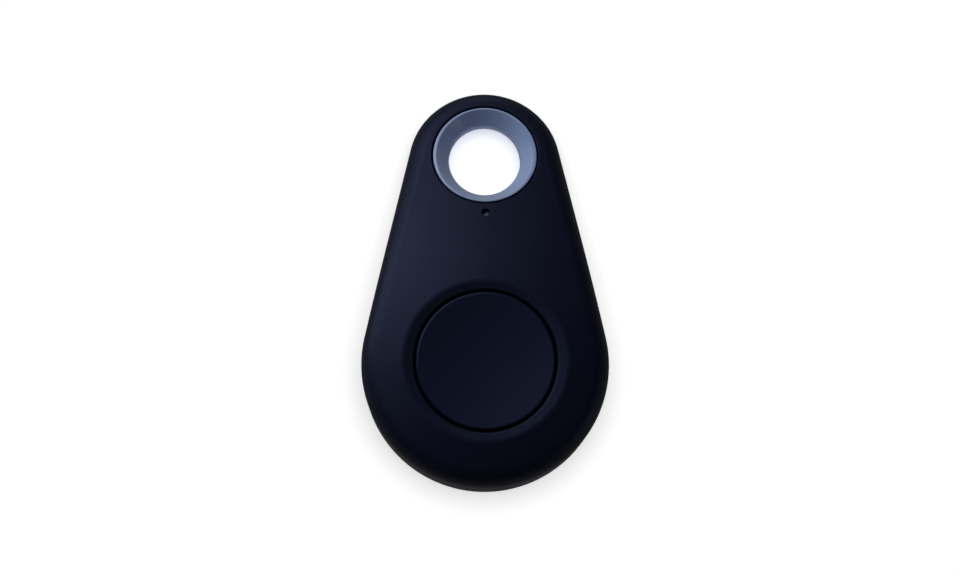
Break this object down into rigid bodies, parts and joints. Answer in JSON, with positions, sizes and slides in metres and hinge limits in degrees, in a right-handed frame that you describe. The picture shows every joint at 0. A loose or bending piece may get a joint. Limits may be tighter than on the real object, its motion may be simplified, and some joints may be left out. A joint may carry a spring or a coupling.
{
  "type": "bluetooth tracker tag",
  "caption": "Drop-shaped key-finder tag: two-part plastic housing, translucent light ring lining the keyring eye, round dished push button, coin cell and board inside.",
  "frame": {"origin": "centre of the tag's bounding box in plan, on its flat back", "axes": "+X across the tag, +Y along it towards the keyring eye, +Z out of the button's face"},
  "size_m": [0.031, 0.052, 0.011],
  "materials": {
    "shell_plastic": "soft-touch blue-black, fine satin texture",
    "button_plastic": "soft-touch blue-black, fine satin texture",
    "ring_plastic": "smoke blue-grey, translucent, glossy",
    "board_laminate": "green solder mask over glass-epoxy",
    "black_moulding": "fine matt",
    "chip_epoxy": "matt moulding compound",
    "tinned_steel": "tin-plated",
    "silvered_brass": "silver-plated",
    "spring_steel": "rolled spring sheet",
    "led_body": "clear over white",
    "capacitor_ceramic": "fired, matt",
    "ferrite": "sintered, dark grey",
    "gold_plating": "immersion gold",
    "magnet": "sintered",
    "copper_wire": "enamelled winding",
    "iron": "zinc-plated",
    "cell_steel": "nickel-plated, drawn",
    "gasket_plastic": "natural",
    "cathode_powder": "pressed powder",
    "separator_felt": "felt",
    "lithium": "soft metal",
    "foam": "closed-cell foam"
  },
  "bodies": {
    "cover": {"back_cover": "shell_plastic", "cell_pad": "foam"},
    "housing": {"front_shell": "shell_plastic", "light_ring": "ring_plastic", "circuit_board": "board_laminate", "switch_base": "black_moulding", "switch_cover_plate": "tinned_steel", "switch_terminals": "silvered_brass", "switch_dome": "spring_steel", "radio_chip": "chip_epoxy", "crystal_can": "tinned_steel", "indicator_led": "led_body", "chip_capacitors": "capacitor_ceramic", "chip_resistors": "chip_epoxy", "chip_inductor": "ferrite", "antenna_trace": "gold_plating", "test_pads": "gold_plating", "sounder_case": "black_moulding", "sounder_diaphragm": "spring_steel", "sounder_magnet": "magnet", "sounder_coil": "copper_wire", "sounder_pole_piece": "iron", "negative_contact": "spring_steel", "positive_contacts": "spring_steel"},
    "button": {"button_cap": "button_plastic"},
    "plunger": {"switch_plunger": "black_moulding"},
    "coin_cell": {"cell_can": "cell_steel", "cell_cap": "cell_steel", "cell_gasket": "gasket_plastic", "cell_cathode": "cathode_powder", "cell_separator": "separator_felt", "cell_anode": "lithium"}
  },
  "joints": [
    {"name": "front_lift", "type": "slide", "parent": "cover", "child": "housing", "axis": [0, 0, 1], "range_m": [0, 0.022]},
    {"name": "cell_lift", "type": "slide", "parent": "cover", "child": "coin_cell", "axis": [0, 0, 1], "range_m": [0, 0.011]},
    {"name": "button_press", "type": "slide", "parent": "housing", "child": "button", "axis": [0, 0, -1], "range_m": [0, 0.0003], "stiffness_N_per_m": 600},
    {"name": "plunger_press", "type": "slide", "parent": "housing", "child": "plunger", "axis": [0, 0, -1], "range_m": [0, 0.0003], "deforming": ["switch_dome"]}
  ],
  "couplings": [
    {"joint": "cell_lift", "follows": "front_lift", "ratio": 0.5},
    {"joint": "plunger_press", "follows": "button_press", "ratio": 1}
  ]
}
